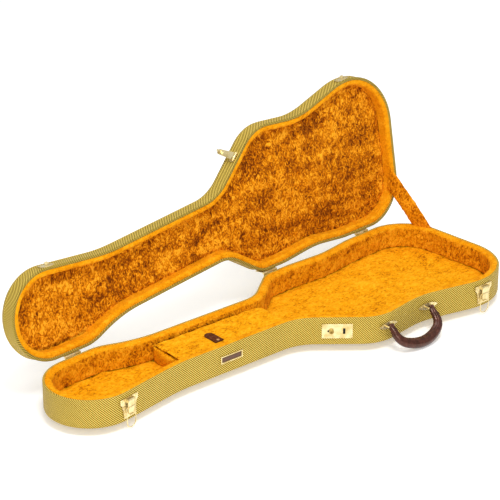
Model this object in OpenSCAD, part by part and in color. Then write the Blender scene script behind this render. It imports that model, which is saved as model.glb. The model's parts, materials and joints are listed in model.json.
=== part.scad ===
// Hard case for an offset-body electric guitar, standing open with its lid leaning back.
// Frame: the origin is on the ground under the middle of the wide body end, +X points to the tail,
// -Y to the front (handle, lock and latches), +Z up. The lid hinges run along the +Y side.
// Lid parts are drawn as on the closed case and then turned back about the hinge line.

/* [Case] */
// Overall length
case_l = 1120; // [1100:1:1130]
// Overall width across the lower bout
case_w = 350; // [345:1:356]
// Height of the base side wall
wall_h = 62; // [60:1:70]
// Height of the lid side wall
lid_wall_h = 28; // [27:1:34]
// Rise of the arched top and bottom panels
arch_h = 20; // [17:1:21]
// How far the lid leans back from closed, in degrees
lid_open = 100; // [90:1:110]

/* [Padding] */
// Thickness of the padding along the side walls
side_pad_t = 14; // [10:1:16]
// Height of the accessory box under the neck
box_h = 40; // [36:1:44]

/* [Hardware] */
// Length of the latch bails, from pivot to end
bail_l = 44; // [44:1:45]
// Drop of the middle line of the handle below its pivots
handle_drop = 58; // [55:1:58]
// How far the hanging handle leans out from vertical, in degrees
handle_lean = 43; // [43:1:60]
// How far the open hasp flap is turned up from its locked position, in degrees
hasp_open = 160; // [90:1:165]

/* [Hidden] */
wall_t = 6;
panel_t = 5;
fit_gap = 0.4;
rim_gap = 0.5;
rivet_hole_r = 1.4;
rivet_head_r = 2.4;
rivet_head_t = 0.9;
lip_t = 2;
floor_pad_t = 10;
rim_z = arch_h + wall_h;
floor_z = arch_h + floor_pad_t;
hinge_offset = 2.8;
hinge_y = case_w / 2 + hinge_offset;
lining_inset = wall_t + side_pad_t;
curve_step = 6;

// colours
tweed = [0.77, 0.66, 0.36];
plush = [0.89, 0.58, 0.10];
brass = [0.85, 0.74, 0.50];
leather = [0.36, 0.24, 0.21];

// ---- outline of the case seen from above ----
// Each corner is [x from the head end, distance in from the hinge side, corner radius].
origin_from_head = 880;
stretch_x = case_l / 1120;
stretch_y = case_w / 350;
outline_corners = [
  [0, 200, 95], // head, front
  [260, 175, 400], // neck, front
  [570, 200, 105], // neck runs into the front horn
  [695, 320, 95], // front horn
  [835, 308, 200], // front waist
  [965, 348, 180], // lower bout, front
  [1120, 362, 125], // tail, front
  [1120, 0, 100], // tail, hinge side
  [930, 0, 300], // lower bout, hinge side
  [840, 10, 250], // waist, hinge side
  [740, 0, 300], // horn back into the waist
  [670, 0, 60], // horn, hinge side
  [580, 60, 75], // neck runs into the hinge-side horn
  [270, 35, 300], // neck, hinge side
  [190, 0, 110], // head runs into the neck
  [0, 0, 95], // head, hinge side
];

// A place on the case, from the head end and in from the hinge side, as [x, y] of the frame.
function place(x, d) = [(x - origin_from_head) * stretch_x, case_w / 2 - d * stretch_y];

function unit(v) = v / norm(v);
function turned(v, angle) =
  [v.x * cos(angle) - v.y * sin(angle), v.x * sin(angle) + v.y * cos(angle)];

// Arc that rounds one corner, moved inwards by inset. The centre of the arc never moves.
function corner_arc(before, here, after, radius, inset) =
  let (
    way_in = unit(here - before),
    way_out = unit(after - here),
    turn = atan2(cross(way_in, way_out), way_in * way_out),
    side = sign(turn),
    start = here - way_in * radius * tan(abs(turn) / 2),
    to_centre = turned(way_in, 90 * side),
    centre = start + to_centre * radius,
    reach = radius - side * inset,
    steps = ceil(abs(turn) / curve_step)
  )
  [for (i = [0:steps]) centre - turned(to_centre, turn * i / steps) * reach];

function corner_place(i) = let (c = outline_corners[i % len(outline_corners)]) place(c.x, c.y);

// The whole outline, inset all round. A negative inset grows it.
function outline_points(inset) =
  let (n = len(outline_corners))
  [for (i = [0:n - 1]) each corner_arc(
    corner_place(i + n - 1), corner_place(i), corner_place(i + 1), outline_corners[i].z, inset)];

module outline(inset) {
  polygon(outline_points(inset));
}

module outline_ring(outer_inset, inner_inset, h) {
  linear_extrude(h)
    difference() {
      outline(outer_inset);
      outline(inner_inset);
    }
}

// ---- arched panels ----
// Triangles that fill an outline, zipped from the head end between its front side and its hinge side.
function zipped(points, front, back) =
  back - front < 2 ? [] :
  points[front + 1].x < points[back - 1].x
    ? concat([[front, front + 1, back]], zipped(points, front + 1, back))
    : concat([[front, back - 1, back]], zipped(points, front, back - 1));

// A shell lofted over rings of the outline. Each ring is [inset, height].
module lofted_shell(rings) {
  n = len(outline_points(0));
  last = len(rings) - 1;
  points = [for (ring = rings) each [for (p = outline_points(ring[0])) [p.x, p.y, ring[1]]]];
  sides = [for (k = [0:last - 1]) each [for (i = [0:n - 1])
    [k * n + i, (k + 1) * n + i, (k + 1) * n + (i + 1) % n, k * n + (i + 1) % n]]];
  first_cap = zipped(outline_points(rings[0][0]), 0, n - 1);
  last_cap = [for (t = zipped(outline_points(rings[last][0]), 0, n - 1))
    [last * n + t[2], last * n + t[1], last * n + t[0]]];
  polyhedron(points, concat(first_cap, sides, last_cap), convexity = 6);
}

// Rounded shoulder that flattens into a crown, as rings of [inset, height].
crown_inset = 54;
shoulder_power = 2.4;
shoulder_steps = 7;
function shoulder_ring(rise, edge, t) =
  let (
    inwards = 1 - pow(cos(t), 2 / shoulder_power),
    upwards = pow(sin(t), 2 / shoulder_power)
  )
  [edge + (crown_inset - edge) * inwards, rise * upwards];
function shoulder_rings(rise, edge) =
  [for (i = [0:shoulder_steps]) shoulder_ring(rise, edge, 90 * i / shoulder_steps)];
function reversed(list) = [for (i = [len(list) - 1:-1:0]) list[i]];

// Shallow slope from the edge down to the flat the case stands on, as rings of [inset, height].
chine_inset = 50;
chine_power = 1.1;
chine_steps = 4;
function chine_rings(edge, flat_z) =
  [for (i = [0:chine_steps])
    let (s = i / chine_steps)
    [edge + (chine_inset - edge) * s, flat_z + (arch_h - flat_z) * pow(1 - s, chine_power)]];

// ---- placing helpers ----
module on_lid() {
  translate([0, hinge_y, rim_z])
    rotate([-lid_open, 0, 0])
      translate([0, -hinge_y, 0])
        children();
}

// Puts hardware on an outer wall: local X runs along the wall, -Y points out, z = 0 is the rim plane.
module on_wall(spot) {
  translate([each place(spot.x, spot.y), 0])
    rotate([0, 0, spot.z])
      children();
}

module at_rim() {
  translate([0, 0, rim_z])
    children();
}

// Flat plate standing on a wall, from a 2D shape in x and z.
module wall_plate(t) {
  translate([0, -fit_gap, 0])
    rotate([90, 0, 0])
      linear_extrude(t)
        children();
}

module x_cylinder(r, x0, x1, y = 0, z = 0) {
  translate([x0, y, z])
    rotate([0, 90, 0])
      cylinder(r = r, h = x1 - x0, $fn = 40);
}

// Round rod between two points.
module rod(from, to, r) {
  way = to - from;
  translate(from)
    rotate([0, acos(way.z / norm(way)), atan2(way.y, way.x)])
      cylinder(r = r, h = norm(way), $fn = 32);
}

module ball(at, r) {
  translate(at)
    sphere(r = r, $fn = 32);
}

// ---- base shell ----
module base_bottom_panel() {
  color(tweed)
    lofted_shell(concat(reversed(chine_rings(0, 0)), chine_rings(wall_t, panel_t)));
}

lock_spot = [628, 255.7, -43.8];
lock_w = 64;
lock_h = 33;
lock_z = -31;
mortise_w = 50;
mortise_h = 26;
mortise_depth = 4.8;

module base_side_wall() {
  color(tweed)
    difference() {
      translate([0, 0, arch_h])
        outline_ring(0, wall_t, wall_h - lip_t - rim_gap);
      at_rim()
        on_wall(lock_spot)
          translate([-mortise_w / 2, -1, lock_z - mortise_h / 2])
            cube([mortise_w, mortise_depth + 1.4, mortise_h]);
    }
}

// ---- base padding ----
pad_gap = 0.3;

module base_floor_pad() {
  color(plush) {
    translate([0, 0, arch_h])
      linear_extrude(floor_pad_t)
        outline(wall_t + pad_gap);
    translate([0, 0, panel_t + pad_gap])
      linear_extrude(arch_h - panel_t)
        outline(chine_inset + 2);
  }
}

module base_side_lining() {
  color(plush) {
    translate([0, 0, floor_z])
      outline_ring(wall_t + pad_gap, lining_inset, rim_z - lip_t - rim_gap - floor_z);
    translate([0, 0, rim_z - lip_t - rim_gap])
      outline_ring(1, lining_inset, lip_t);
  }
}

// ---- neck support and accessory box ----
// Local frame along the neck: X towards the body, the middle of the neck at Y = 0.
neck_spot = [400, 115.9, -4.6];
neck_half = 49;
box_head_end = -115;
box_body_end = 105;
neck_rest_end = 172;
box_panel_t = 10;
box_lid_t = 5;
box_lid_side = 47.2;
neck_round = 22;
rebate = 8;
box_hinge_y = 47.4;
box_top_z = floor_z + box_h;

module in_neck() {
  translate([each place(neck_spot.x, neck_spot.y), 0])
    rotate([0, 0, neck_spot.z])
      children();
}

module headstock_panel() {
  color(plush)
    in_neck()
      translate([box_head_end, -neck_half, floor_z])
        cube([box_panel_t, 2 * neck_half, box_h - box_lid_t - pad_gap]);
}

module neck_rest() {
  color(plush)
    in_neck() {
      translate([box_body_end, 0, floor_z])
        linear_extrude(box_h)
          neck_rest_plan(neck_rest_end - box_body_end);
      translate([box_body_end - rebate, -neck_half, floor_z])
        cube([rebate, 2 * neck_half, box_h - box_lid_t - pad_gap]);
    }
}

// Block seen from above, with its two corners towards the body rounded.
module neck_rest_plan(l) {
  difference() {
    translate([0, -neck_half])
      square([l, 2 * neck_half]);
    for (side = [-1, 1])
      translate([l - neck_round, side * (neck_half - neck_round)])
        difference() {
          translate([neck_round / 2 + 0.5, side * (neck_round / 2 + 0.5)])
            square(neck_round + 1, center = true);
          circle(r = neck_round, $fn = 48);
        }
  }
}

module box_lid() {
  color(plush)
    in_neck()
      translate([box_head_end, -neck_half + 1, box_top_z - box_lid_t])
        cube([box_body_end - pad_gap - box_head_end, box_lid_side + neck_half - 1, box_lid_t]);
}

module box_hinge_tape() {
  from = box_head_end + box_panel_t + pad_gap;
  to = box_body_end - rebate - pad_gap;
  color(plush)
    in_neck()
      translate([from, box_hinge_y + 0.3, box_top_z - 8])
        cube([to - from, 1.2, 8.4]);
}

tab_w = 22;
tab_t = 2.4;
tab_x = -3;
tab_from = -32;
tab_to = 12;
tab_rivet_y = -26;
tab_rivet_r = 1.5;
tab_rivet_head_r = 3.2;

module box_pull_tab() {
  color(leather)
    in_neck()
      translate([tab_x, 0, box_top_z])
        linear_extrude(tab_t)
          difference() {
            union() {
              translate([-tab_w / 2, tab_from])
                square([tab_w, tab_to - tab_from - tab_w / 2]);
              translate([0, tab_to - tab_w / 2])
                circle(d = tab_w, $fn = 48);
            }
            translate([0, tab_rivet_y])
              circle(r = tab_rivet_r + 0.1, $fn = 24);
          }
}

module box_tab_rivet() {
  color(brass)
    in_neck()
      translate([tab_x, tab_rivet_y, box_top_z]) {
        cylinder(r = tab_rivet_r, h = tab_t + 0.2, $fn = 24);
        translate([0, 0, tab_t + 0.1])
          cylinder(r = tab_rivet_head_r, h = rivet_head_t, $fn = 32);
      }
}

// ---- lid shell ----
bead_h = 2;
bead_proud = 1;

module lid_side_wall() {
  color(tweed)
    on_lid()
      translate([0, 0, rim_gap])
        outline_ring(0, wall_t, lid_wall_h - bead_h / 2 - rim_gap);
}

module lid_seam_bead() {
  color(tweed)
    on_lid()
      translate([0, 0, lid_wall_h - bead_h / 2])
        outline_ring(-bead_proud, wall_t, bead_h);
}

module lid_arched_top() {
  color(tweed)
    on_lid()
      translate([0, 0, lid_wall_h + bead_h / 2])
        lofted_shell(concat(
          reversed(shoulder_rings(arch_h - panel_t, wall_t)),
          shoulder_rings(arch_h, 0)
        ));
}

// ---- lid padding ----
lid_side_pad_t = 12;
lid_lining_inset = wall_t + lid_side_pad_t;
lid_pad_back = lid_wall_h + 8;
lid_body_pad_h = 23;
lid_head_pad_h = 27;
lid_pad_split = 190;
past_ends = 10;

module lid_side_lining() {
  color(plush)
    on_lid()
      translate([0, 0, rim_gap])
        outline_ring(wall_t + pad_gap, lid_lining_inset, lid_wall_h - rim_gap);
}

// One panel pad of the lid between two lengths measured from the head end.
module lid_pad(from_x, to_x, front_h) {
  color(plush)
    on_lid()
      translate([0, 0, front_h])
        linear_extrude(lid_pad_back - front_h)
          intersection() {
            outline(lid_lining_inset + pad_gap);
            translate([place(from_x, 0).x, -case_w])
              square([place(to_x, 0).x - place(from_x, 0).x, 2 * case_w]);
          }
}

module lid_head_pad() {
  lid_pad(-past_ends, lid_pad_split - pad_gap, lid_head_pad_h);
}

module lid_body_pad() {
  lid_pad(lid_pad_split, outline_corners[6].x + past_ends, lid_body_pad_h);
}

// ---- stay strap ----
// Flat strap from the rim of the base to the rim of the lid, at the corner of tail and hinge side.
// Both ends run along the rim padding, so the strap is longer on its outer side.
strap_x = 1106;
strap_d = 70;
strap_w = 34;
strap_t = 3;
strap_gap = 1;
strap_turn = 20; // turn of the rim at the strap, away from straight across the case

module stay_strap() {
  foot = [place(strap_x, 0).x, place(0, strap_d).y, rim_z + strap_gap];
  way = [0, sin(lid_open / 2), cos(lid_open / 2)];
  l = 2 * ((hinge_y - foot.y) * way.y - strap_gap * way.z);
  along_rim = [sin(strap_turn), -cos(strap_turn), 0];
  across = unit(along_rim - (along_rim * way) * way);
  face = cross(across, way);
  slant = (along_rim * way) / (along_rim * across) * strap_w / 2;
  color(plush)
    translate(foot)
      multmatrix([
        [across.x, way.x, face.x, 0],
        [across.y, way.y, face.y, 0],
        [across.z, way.z, face.z, 0],
        [0, 0, 0, 1],
      ])
        translate([0, 0, -strap_t / 2])
          linear_extrude(strap_t)
            polygon([
              [-strap_w / 2, -slant], [strap_w / 2, slant],
              [strap_w / 2, l - slant], [-strap_w / 2, l + slant],
            ]);
}

// ---- lid hinges ----
hinge_w = 40;
hinge_leaf_h = 24;
leaf_t = 1.2;
barrel_r = 2.3;
hinge_pin_r = 1.1;
bore_gap = 0.05;
knuckle_gap = 0.3;
hinge_rivet_x = [-hinge_w / 3, 0, hinge_w / 3];
hinge_rivet_z = 15;
head_hinge_x = 131;
horn_hinge_x = 690;
tail_hinge_x = 983;

// Leaf on one half: a plate on the wall joined to its knuckles, cleared around the other half's knuckles.
// side is -1 for the base leaf below the rim and 1 for the lid leaf above it.
module hinge_leaf(hinge_x, side, knuckles, gaps) {
  plate_y = case_w / 2 + fit_gap;
  color(brass)
    translate([place(hinge_x, 0).x, 0, rim_z])
      difference() {
        union() {
          translate([-hinge_w / 2, plate_y, side < 0 ? -hinge_leaf_h : 0])
            cube([hinge_w, leaf_t, hinge_leaf_h]);
          for (k = knuckles)
            x_cylinder(barrel_r, k[0], k[1], hinge_y);
        }
        x_cylinder(hinge_pin_r + bore_gap, -hinge_w, hinge_w, hinge_y);
        for (g = gaps)
          x_cylinder(barrel_r + 0.5, g[0], g[1], hinge_y);
        for (x = hinge_rivet_x)
          translate([x, plate_y + leaf_t / 2, side * hinge_rivet_z])
            rotate([90, 0, 0])
              cylinder(r = rivet_hole_r, h = 4 * leaf_t, center = true, $fn = 24);
      }
}

// Spans along the hinge: the base leaf has the two outer knuckles, the lid leaf the middle one.
knuckle_half = hinge_w / 6;
knuckle_short = knuckle_half - knuckle_gap;
knuckle_long = knuckle_half + knuckle_gap;
outer_knuckles = [[-hinge_w / 2, -knuckle_long], [knuckle_long, hinge_w / 2]];
outer_spans = [[-hinge_w / 2 - 1, -knuckle_short], [knuckle_short, hinge_w / 2 + 1]];
middle_knuckle = [[-knuckle_short, knuckle_short]];
middle_span = [[-knuckle_long, knuckle_long]];

module hinge_base_leaf(hinge_x) {
  hinge_leaf(hinge_x, -1, outer_knuckles, middle_span);
}

module hinge_lid_leaf(hinge_x) {
  on_lid()
    translate([0, 0, -rim_z])
      hinge_leaf(hinge_x, 1, middle_knuckle, outer_spans);
}

module hinge_pin(hinge_x) {
  color(brass)
    translate([place(hinge_x, 0).x, 0, rim_z])
      x_cylinder(hinge_pin_r, -hinge_w / 2 - 0.8, hinge_w / 2 + 0.8, hinge_y);
}

// ---- draw latches ----
head_latch_spot = [109, 189.5, 5.5];
tail_latch_spot = [986, 350.1, -4];
latch_plate_t = 1.2;
lever_pin_z = -17;
lever_pin_r = 1.2;
pivot_out = 6;
bail_pivot_z = -32;
bail_r = 1;
bail_half = 12.3;
lever_half = 8.4;
cheek_in = lever_half + 0.4;
cheek_t = 1.2;
cheek_out = cheek_in + cheek_t;
lever_tip_z = -48;
lever_tip_half = 5;
pin_head_t = 0.6;
latch_rivets = [[-19, -17], [19, -17], [-11, -50], [11, -50]];

module latch_plate(spot) {
  color(brass)
    at_rim()
      on_wall(spot) {
        wall_plate(latch_plate_t)
          difference() {
            polygon([
              [-24.5, -12], [-24.5, -22], [-20, -27], [-15, -55],
              [15, -55], [20, -27], [24.5, -22], [24.5, -12],
            ]);
            for (p = latch_rivets)
              translate(p)
                circle(r = rivet_hole_r, $fn = 24);
          }
        for (side = [-1, 1])
          latch_cheek(side);
      }
}

// Ear that carries the lever pin.
module latch_cheek(side) {
  x0 = side > 0 ? cheek_in : -cheek_out;
  difference() {
    union() {
      translate([x0, -pivot_out, lever_pin_z - 3.5])
        cube([cheek_t, pivot_out - 1.2, 7]);
      x_cylinder(3.5, x0, x0 + cheek_t, -pivot_out, lever_pin_z);
    }
    x_cylinder(lever_pin_r + bore_gap, x0 - 1, x0 + cheek_t + 1, -pivot_out, lever_pin_z);
  }
}

module latch_pin(spot) {
  color(brass)
    at_rim()
      on_wall(spot) {
        x_cylinder(lever_pin_r, -cheek_out - 0.2, cheek_out + 0.2, -pivot_out, lever_pin_z);
        for (x = [-cheek_out - 0.1 - pin_head_t, cheek_out + 0.1])
          x_cylinder(1.9, x, x + pin_head_t, -pivot_out, lever_pin_z);
      }
}

module latch_lever(spot) {
  color(brass)
    at_rim()
      on_wall(spot)
        difference() {
          union() {
            x_cylinder(2.6, -lever_half, lever_half, -pivot_out, lever_pin_z);
            x_cylinder(2.3, -lever_half, lever_half, -pivot_out, bail_pivot_z);
            translate([0, -pivot_out + 0.8, 0])
              rotate([90, 0, 0])
                linear_extrude(1.6)
                  polygon([
                    [-lever_half, lever_pin_z], [-lever_half, bail_pivot_z - 3],
                    [-lever_tip_half - 2, lever_tip_z + 2], [-lever_tip_half, lever_tip_z],
                    [lever_tip_half, lever_tip_z], [lever_tip_half + 2, lever_tip_z + 2],
                    [lever_half, bail_pivot_z - 3], [lever_half, lever_pin_z],
                  ]);
            translate([-lever_tip_half, -pivot_out - 3.6, lever_tip_z])
              cube([2 * lever_tip_half, 3.6, 1.6]);
          }
          x_cylinder(lever_pin_r + bore_gap, -2 * lever_half, 2 * lever_half, -pivot_out, lever_pin_z);
          x_cylinder(bail_r + bore_gap, -2 * lever_half, 2 * lever_half, -pivot_out, bail_pivot_z);
        }
}

// Wire loop: two in-turned ends in the lever, two legs and a half-round end.
module latch_bail(spot) {
  bend_z = bail_pivot_z - bail_l + bail_half;
  color(brass)
    at_rim()
      on_wall(spot)
        translate([0, -pivot_out, 0]) {
          for (side = [-1, 1]) {
            rod([side * 3, 0, bail_pivot_z], [side * bail_half, 0, bail_pivot_z], bail_r);
            ball([side * bail_half, 0, bail_pivot_z], bail_r);
            rod([side * bail_half, 0, bend_z - 0.01], [side * bail_half, 0, bail_pivot_z], bail_r);
          }
          translate([0, 0, bend_z])
            rotate([-90, 0, 0])
              rotate_extrude(angle = 180, $fn = 64)
                translate([bail_half, 0])
                  circle(r = bail_r, $fn = 24);
        }
}

catch_rivets = [[-12, 13], [12, 13]];
hook_half = 3.5;

module latch_catch(spot) {
  color(brass)
    on_lid()
      on_wall(spot) {
        wall_plate(latch_plate_t)
          difference() {
            polygon([[-17, 6], [-17, 18], [-14, 20], [14, 20], [17, 18], [17, 6], [8, 2.5], [-8, 2.5]]);
            for (p = catch_rivets)
              translate(p)
                circle(r = rivet_hole_r, $fn = 24);
          }
        translate([-hook_half, -8.6, 8])
          cube([2 * hook_half, 7.2, 2.1]);
        translate([-hook_half, -8.6, 8])
          cube([2 * hook_half, 1.2, 4.6]);
      }
}

// ---- lock and hasp ----
hasp_spot = [638.5, 265.8, -43.8];
slot_x = 14.5;
slot_w = 5;
slot_h = 13;
tongue_t = 3.6;
tongue_h = 10;
knob_x = -12;
knob_r = 5.2;
knob_travel = 6;
stem_half = 1.8;
lock_screws = [[-28, -18.5], [-28, -43.5], [28, -18.5], [28, -43.5]];
lock_plate_t = 1.2;

module lock_plate() {
  color(brass)
    at_rim()
      on_wall(lock_spot)
        wall_plate(lock_plate_t)
          difference() {
            translate([-lock_w / 2, lock_z - lock_h / 2])
              square([lock_w, lock_h]);
            translate([slot_x - slot_w / 2, lock_z - slot_h / 2])
              square([slot_w, slot_h]);
            translate([knob_x - knob_travel - stem_half - 0.4, lock_z - stem_half - 0.3])
              square([knob_travel + 2 * stem_half + 0.8, 2 * stem_half + 0.6]);
            for (p = lock_screws)
              translate(p)
                circle(r = rivet_hole_r, $fn = 24);
          }
}

// Box let into the wall, with a pocket for the hasp tongue and one for the knob.
module lock_case() {
  color(brass)
    at_rim()
      on_wall(lock_spot)
        difference() {
          translate([-mortise_w / 2 + 0.3, 0, lock_z - mortise_h / 2 + 0.3])
            cube([mortise_w - 0.6, mortise_depth, mortise_h - 0.6]);
          translate([slot_x - slot_w / 2, -1, lock_z - slot_h / 2])
            cube([slot_w, mortise_depth, slot_h]);
          translate([knob_x - knob_travel - 5.4, -1, lock_z - 5])
            cube([knob_travel + 10.8, 3.4, 10]);
        }
}

module lock_knob() {
  color(brass)
    at_rim()
      on_wall(lock_spot)
        translate([knob_x, 0, lock_z]) {
          rotate([90, 0, 0])
            difference() {
              translate([0, 0, fit_gap + lock_plate_t + 0.3])
                cylinder(r = knob_r, h = 3.4, $fn = 48);
              translate([0, 0, fit_gap + lock_plate_t + 2.5])
                cylinder(r = 2.4, h = 3, $fn = 32);
            }
          translate([-stem_half, -2.2, -stem_half])
            cube([2 * stem_half, 2.6, 2 * stem_half]);
          translate([-4.6, 0.2, -4.4])
            cube([9.2, 1.6, 8.8]);
        }
}

hasp_half = 10;
hasp_axis_out = 5.2;
hasp_axis_z = 5;
hasp_barrel_r = 2.4;
hasp_pin_r = 1.1;
hasp_third = hasp_half / 3;
hasp_flap_l = 41;
hasp_rivets = [[-6, 15], [6, 15]];

module hasp_mount() {
  color(brass)
    on_lid()
      on_wall(hasp_spot)
        difference() {
          union() {
            wall_plate(leaf_t)
              polygon([[-11, 6], [-11, 20], [11, 20], [11, 6]]);
            for (side = [-1, 1])
              hasp_bracket(side);
          }
          x_cylinder(hasp_pin_r + bore_gap, -20, 20, -hasp_axis_out, hasp_axis_z);
          for (p = hasp_rivets)
            translate([p.x, 0, p.y])
              rotate([90, 0, 0])
                cylinder(r = rivet_hole_r, h = 6, center = true, $fn = 24);
        }
}

// Outer knuckle of the hasp with the web that joins it to the mounting plate.
module hasp_bracket(side) {
  x0 = side > 0 ? hasp_third + knuckle_gap : -hasp_half;
  w = hasp_half - hasp_third - knuckle_gap;
  x_cylinder(hasp_barrel_r, x0, x0 + w, -hasp_axis_out, hasp_axis_z);
  translate([x0, -hasp_axis_out, hasp_axis_z])
    cube([w, hasp_axis_out - fit_gap, hasp_barrel_r]);
}

// Turns the hasp from its locked position to its open one.
module hasp_turned() {
  on_lid()
    on_wall(hasp_spot)
      translate([0, -hasp_axis_out, hasp_axis_z])
        rotate([-hasp_open, 0, 0])
          children();
}

module hasp_flap() {
  tongue_z = lock_z - hasp_axis_z;
  color(brass)
    hasp_turned()
      difference() {
        union() {
          x_cylinder(hasp_barrel_r, -hasp_third + knuckle_gap, hasp_third - knuckle_gap);
          translate([-hasp_third + knuckle_gap, 0, -6])
            cube([2 * hasp_third - 2 * knuckle_gap, 1.4, 6]);
          translate([0, 1.4, 0])
            rotate([90, 0, 0])
              linear_extrude(1.4)
                polygon([[-8.5, -4], [-6, -38], [-4, -hasp_flap_l], [4, -hasp_flap_l], [6, -38], [8.5, -4]]);
          translate([-tongue_t / 2, 1, tongue_z - tongue_h / 2])
            cube([tongue_t, 7.4, tongue_h]);
        }
        x_cylinder(hasp_pin_r + bore_gap, -20, 20);
        for (side = [-1, 1])
          translate([side * (hasp_third + 3.4), 0, 0])
            cube([6.8 + 2 * knuckle_gap, 12, 2 * hasp_barrel_r + 1.4], center = true);
      }
}

module hasp_pin() {
  color(brass)
    on_lid()
      on_wall(hasp_spot)
        x_cylinder(hasp_pin_r, -hasp_half - 0.6, hasp_half + 0.6, -hasp_axis_out, hasp_axis_z);
}

// ---- carrying handle ----
// The handle turns on the bars of its two brackets, along X; its own plane leans out from vertical.
handle_spot = [781.5, 325];
handle_axis_z = arch_h + 35;
post_half = 63.5;
bar_r = 1.8;
bar_knot_r = 2.1;
loop_r = 4.8;
loop_half = 5.2;
grip_end_r = 5.3;
grip_corner_r = 8.6;
grip_belly_r = 10.8;
corner_bend_r = 30;
corner_turn = 60;
belly_bend_r = corner_bend_r + (post_half - corner_bend_r) / cos(corner_turn);
leg_l = handle_drop - belly_bend_r + (post_half - corner_bend_r) * tan(corner_turn);

// Handle parts are drawn hanging straight down in the XZ plane, then leaned outwards.
module handle_turned() {
  translate([each place(handle_spot.x, handle_spot.y), handle_axis_z])
    rotate([-handle_lean, 0, 0])
      children();
}

// Round bar bent along an arc in the XZ plane, from one angle to another.
module bent_bar(bend_r, r, from, to) {
  rotate([90, 0, 0])
    rotate([0, 0, from])
      rotate_extrude(angle = to - from, $fn = 96)
        translate([bend_r, 0])
          circle(r = r, $fn = 40);
}

// Half of the grip: a loop round the bar, a widening leg and a corner.
module grip_side() {
  x_cylinder(loop_r, post_half - loop_half, post_half + loop_half);
  translate([post_half, 0, -leg_l])
    cylinder(r1 = grip_corner_r, r2 = grip_end_r, h = leg_l - 1, $fn = 40);
  ball([post_half, 0, -leg_l], grip_corner_r + 0.1);
  translate([post_half - corner_bend_r, 0, -leg_l])
    bent_bar(corner_bend_r, grip_corner_r, -corner_turn, 0);
}

module handle_grip() {
  color(leather)
    handle_turned()
      difference() {
        union() {
          grip_side();
          mirror([1, 0, 0])
            grip_side();
          translate([0, 0, belly_bend_r - handle_drop])
            bent_bar(belly_bend_r, grip_belly_r, -180 + corner_turn, -corner_turn);
        }
        for (side = [-1, 1])
          x_cylinder(bar_r + bore_gap, side * post_half - 12, side * post_half + 12);
      }
}

bracket_t = 1.6;
bracket_half_l = 26;
bracket_half_h = 7.5;
bracket_rivets = [[-16, 0], [16, 0]];

// Boat-shaped plate on the wall with a bridge that carries the bar for one loop of the grip.
module handle_bracket(spot) {
  pivot = place(handle_spot.x, handle_spot.y);
  wall = place(spot.x, spot.y);
  leg_x = loop_half + 0.6 + bar_r;
  color(brass)
    translate([0, 0, handle_axis_z]) {
      on_wall(spot)
        wall_plate(bracket_t)
          difference() {
            boat(bracket_half_l, bracket_half_h);
            for (p = bracket_rivets)
              translate(p)
                circle(r = rivet_hole_r, $fn = 24);
          }
      x_cylinder(bar_r, wall.x - leg_x, wall.x + leg_x, pivot.y);
      for (x = [-leg_x, leg_x]) {
        plate_y = wall.y + x * tan(spot.z) - fit_gap - bracket_t / 2;
        rod([wall.x + x, pivot.y, 0], [wall.x + x, plate_y, 0], bar_r);
        ball([wall.x + x, pivot.y, 0], bar_knot_r);
      }
    }
}

// Pointed oval between two equal arcs.
module boat(half_l, half_h) {
  arc_r = (half_l * half_l + half_h * half_h) / (2 * half_h);
  intersection_for(side = [-1, 1])
    translate([0, side * (arc_r - half_h)])
      circle(r = arc_r, $fn = 180);
}

head_bracket_spot = [handle_spot.x - post_half, 316.6, -3];
tail_bracket_spot = [handle_spot.x + post_half, 315.4, -9.3];

// ---- badge ----
badge_spot = [390, 185.5, -4.6];
badge_w = 56;
badge_h = 16;
badge_z = -30;
badge_t = 1.8;
badge_border = 2;
badge_sink = 1;

module badge_plate() {
  color(brass)
    at_rim()
      on_wall(badge_spot)
        difference() {
          wall_plate(badge_t)
            translate([-badge_w / 2, badge_z - badge_h / 2])
              square([badge_w, badge_h]);
          translate([
            badge_border - badge_w / 2,
            -fit_gap - badge_t - 0.2,
            badge_z - badge_h / 2 + badge_border,
          ])
            cube([badge_w - 2 * badge_border, badge_sink, badge_h - 2 * badge_border]);
        }
}

// ---- rivets ----
// Domed rivet through a plate of thickness t, at a place given in x and z on the wall.
module wall_rivet(p, t) {
  translate([p.x, 0, p.y])
    rotate([90, 0, 0]) {
      translate([0, 0, 0.1])
        cylinder(r = rivet_hole_r - 0.1, h = fit_gap + t, $fn = 24);
      translate([0, 0, fit_gap + t + 0.05])
        cylinder(r = rivet_head_r, h = rivet_head_t, $fn = 32);
    }
}

// Rivets of one hinge leaf on the back wall. side is -1 for the base leaf and 1 for the lid leaf.
module hinge_rivets(hinge_x, side) {
  translate([place(hinge_x, 0).x, case_w / 2, 0])
    rotate([0, 0, 180])
      for (x = hinge_rivet_x)
        wall_rivet([x, side * hinge_rivet_z], leaf_t);
}

module base_rivets() {
  color(brass) {
    at_rim() {
      for (spot = [head_latch_spot, tail_latch_spot])
        on_wall(spot)
          for (p = latch_rivets)
            wall_rivet(p, latch_plate_t);
      on_wall(lock_spot)
        for (p = lock_screws)
          wall_rivet(p, lock_plate_t);
      for (hinge_x = [head_hinge_x, horn_hinge_x, tail_hinge_x])
        hinge_rivets(hinge_x, -1);
    }
    translate([0, 0, handle_axis_z])
      for (spot = [head_bracket_spot, tail_bracket_spot])
        on_wall(spot)
          for (p = bracket_rivets)
            wall_rivet(p, bracket_t);
  }
}

module lid_rivets() {
  color(brass)
    on_lid() {
      for (spot = [head_latch_spot, tail_latch_spot])
        on_wall(spot)
          for (p = catch_rivets)
            wall_rivet(p, latch_plate_t);
      on_wall(hasp_spot)
        for (p = hasp_rivets)
          wall_rivet(p, leaf_t);
      for (hinge_x = [head_hinge_x, horn_hinge_x, tail_hinge_x])
        hinge_rivets(hinge_x, 1);
    }
}

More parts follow.
